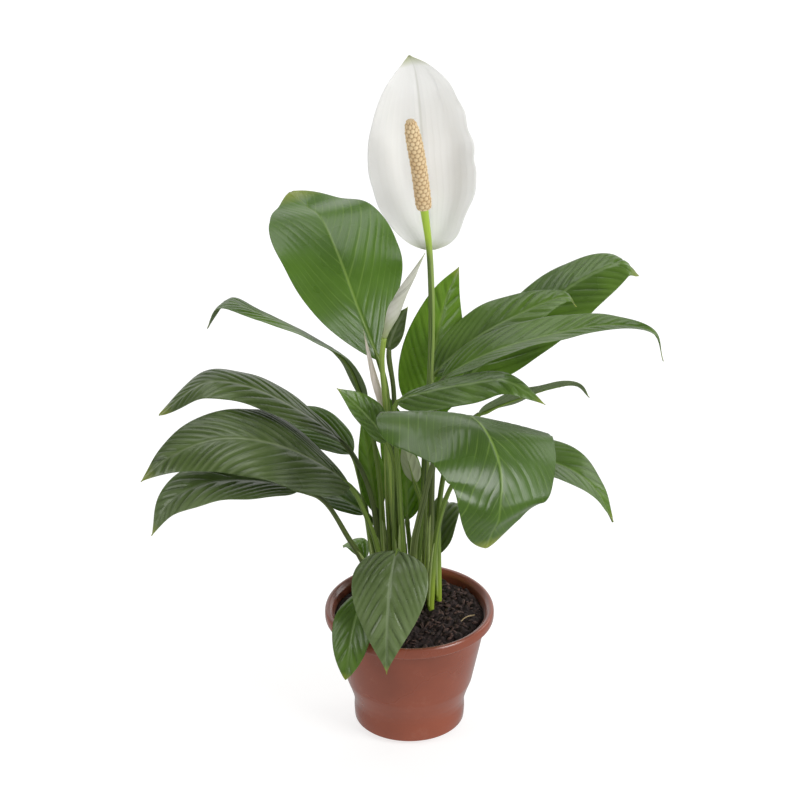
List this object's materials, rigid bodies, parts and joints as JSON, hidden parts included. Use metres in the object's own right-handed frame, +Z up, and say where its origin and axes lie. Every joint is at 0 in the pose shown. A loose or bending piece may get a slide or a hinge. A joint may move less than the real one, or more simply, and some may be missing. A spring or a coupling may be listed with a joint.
{
  "type": "potted peace lily",
  "caption": "Peace lily in a terracotta-coloured plastic nursery pot, with long arching veined leaves, an open white flower and slender closed ones.",
  "frame": {"origin": "middle of the pot's underside, on the surface that it stands on", "axes": "+Z up along the pot's axis, +Y to the back of the plant and -Y to its front, +X to its right seen from the front"},
  "size_m": [0.4516, 0.3477, 0.6338],
  "materials": {
    "pot": "injection-moulded terracotta-coloured polypropylene, satin gloss",
    "potting_mix": "damp peat and bark potting mix, matt and crumbly",
    "leaf": "waxy living leaf, satin, with impressed side veins and a paler midrib",
    "young_leaf": "pale young leaf, still half rolled, satin",
    "stem": "smooth living stem, satin",
    "spathe": "soft white bract, faintly ribbed, thin enough to let light through",
    "spadix": "cream flower spike covered in small florets, matt",
    "closed_spathe": "greenish white bract rolled shut, satin"
  },
  "bodies": {
    "root": {"pot": "pot", "potting_mix": "potting_mix", "leaf_tall_back_left": "leaf", "leaf_left_twisted": "leaf", "leaf_left_upper": "leaf", "leaf_left_behind": "leaf", "leaf_left_ribbed": "leaf", "leaf_left_low": "leaf", "leaf_back_left_low": "leaf", "leaf_small_center": "leaf", "leaf_inner_left": "leaf", "leaf_inner_back": "leaf", "leaf_inner_right": "leaf", "leaf_upright_back": "leaf", "leaf_right_back": "leaf", "leaf_right_upper": "leaf", "leaf_right_long": "leaf", "leaf_right_glossy": "leaf", "leaf_right_thin": "leaf", "leaf_front_right_large": "leaf", "leaf_right_low": "leaf", "leaf_small_right": "leaf", "leaf_small_left": "leaf", "leaf_front_low": "leaf", "leaf_front_left_low": "leaf", "leaf_bud_side": "leaf", "leaf_young_pale": "young_leaf", "flower_stem": "stem", "flower_spathe": "spathe", "flower_spadix": "spadix", "bud_stem": "stem", "bud_spathe": "closed_spathe", "young_stem": "stem", "young_spathe": "closed_spathe"}
  },
  "joints": []
}
